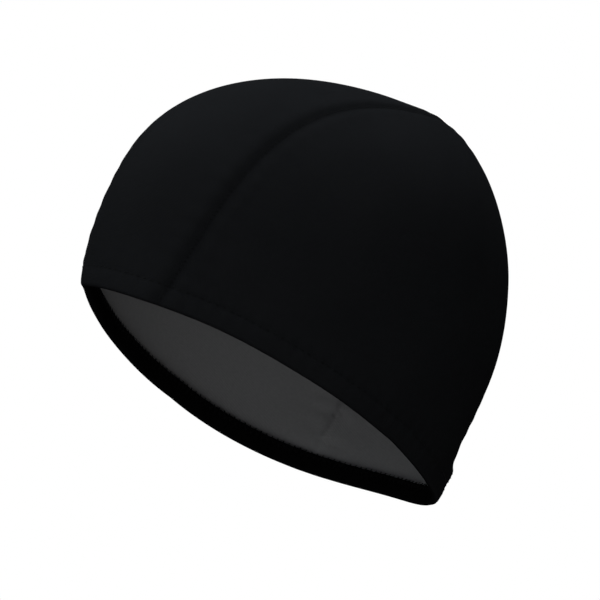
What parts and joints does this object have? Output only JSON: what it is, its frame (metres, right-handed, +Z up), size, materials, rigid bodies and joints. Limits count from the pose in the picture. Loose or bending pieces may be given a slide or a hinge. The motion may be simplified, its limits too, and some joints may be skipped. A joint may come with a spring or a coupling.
{
  "type": "swim cap",
  "caption": "Head-shaped stretch cap of knit cloth for swimming: a centre panel over the crown, side panels and a turned hem round a sloping open rim.",
  "frame": {"origin": "middle of the head opening, half way between the rim at the forehead and the rim at the nape", "axes": "+Z up as the cap is worn, the forehead faces -Y, +X is the wearer's left"},
  "size_m": [0.1546, 0.1806, 0.1778],
  "materials": {
    "black_knit": "fine matt stretch knit, black outside, dark grey inside",
    "hem_knit": "the black outer face of the same knit, turned in and stitched"
  },
  "bodies": {
    "root": {"centre_panel": "black_knit", "left_side_panel": "black_knit", "right_side_panel": "black_knit", "turned_hem": "hem_knit"}
  },
  "joints": []
}
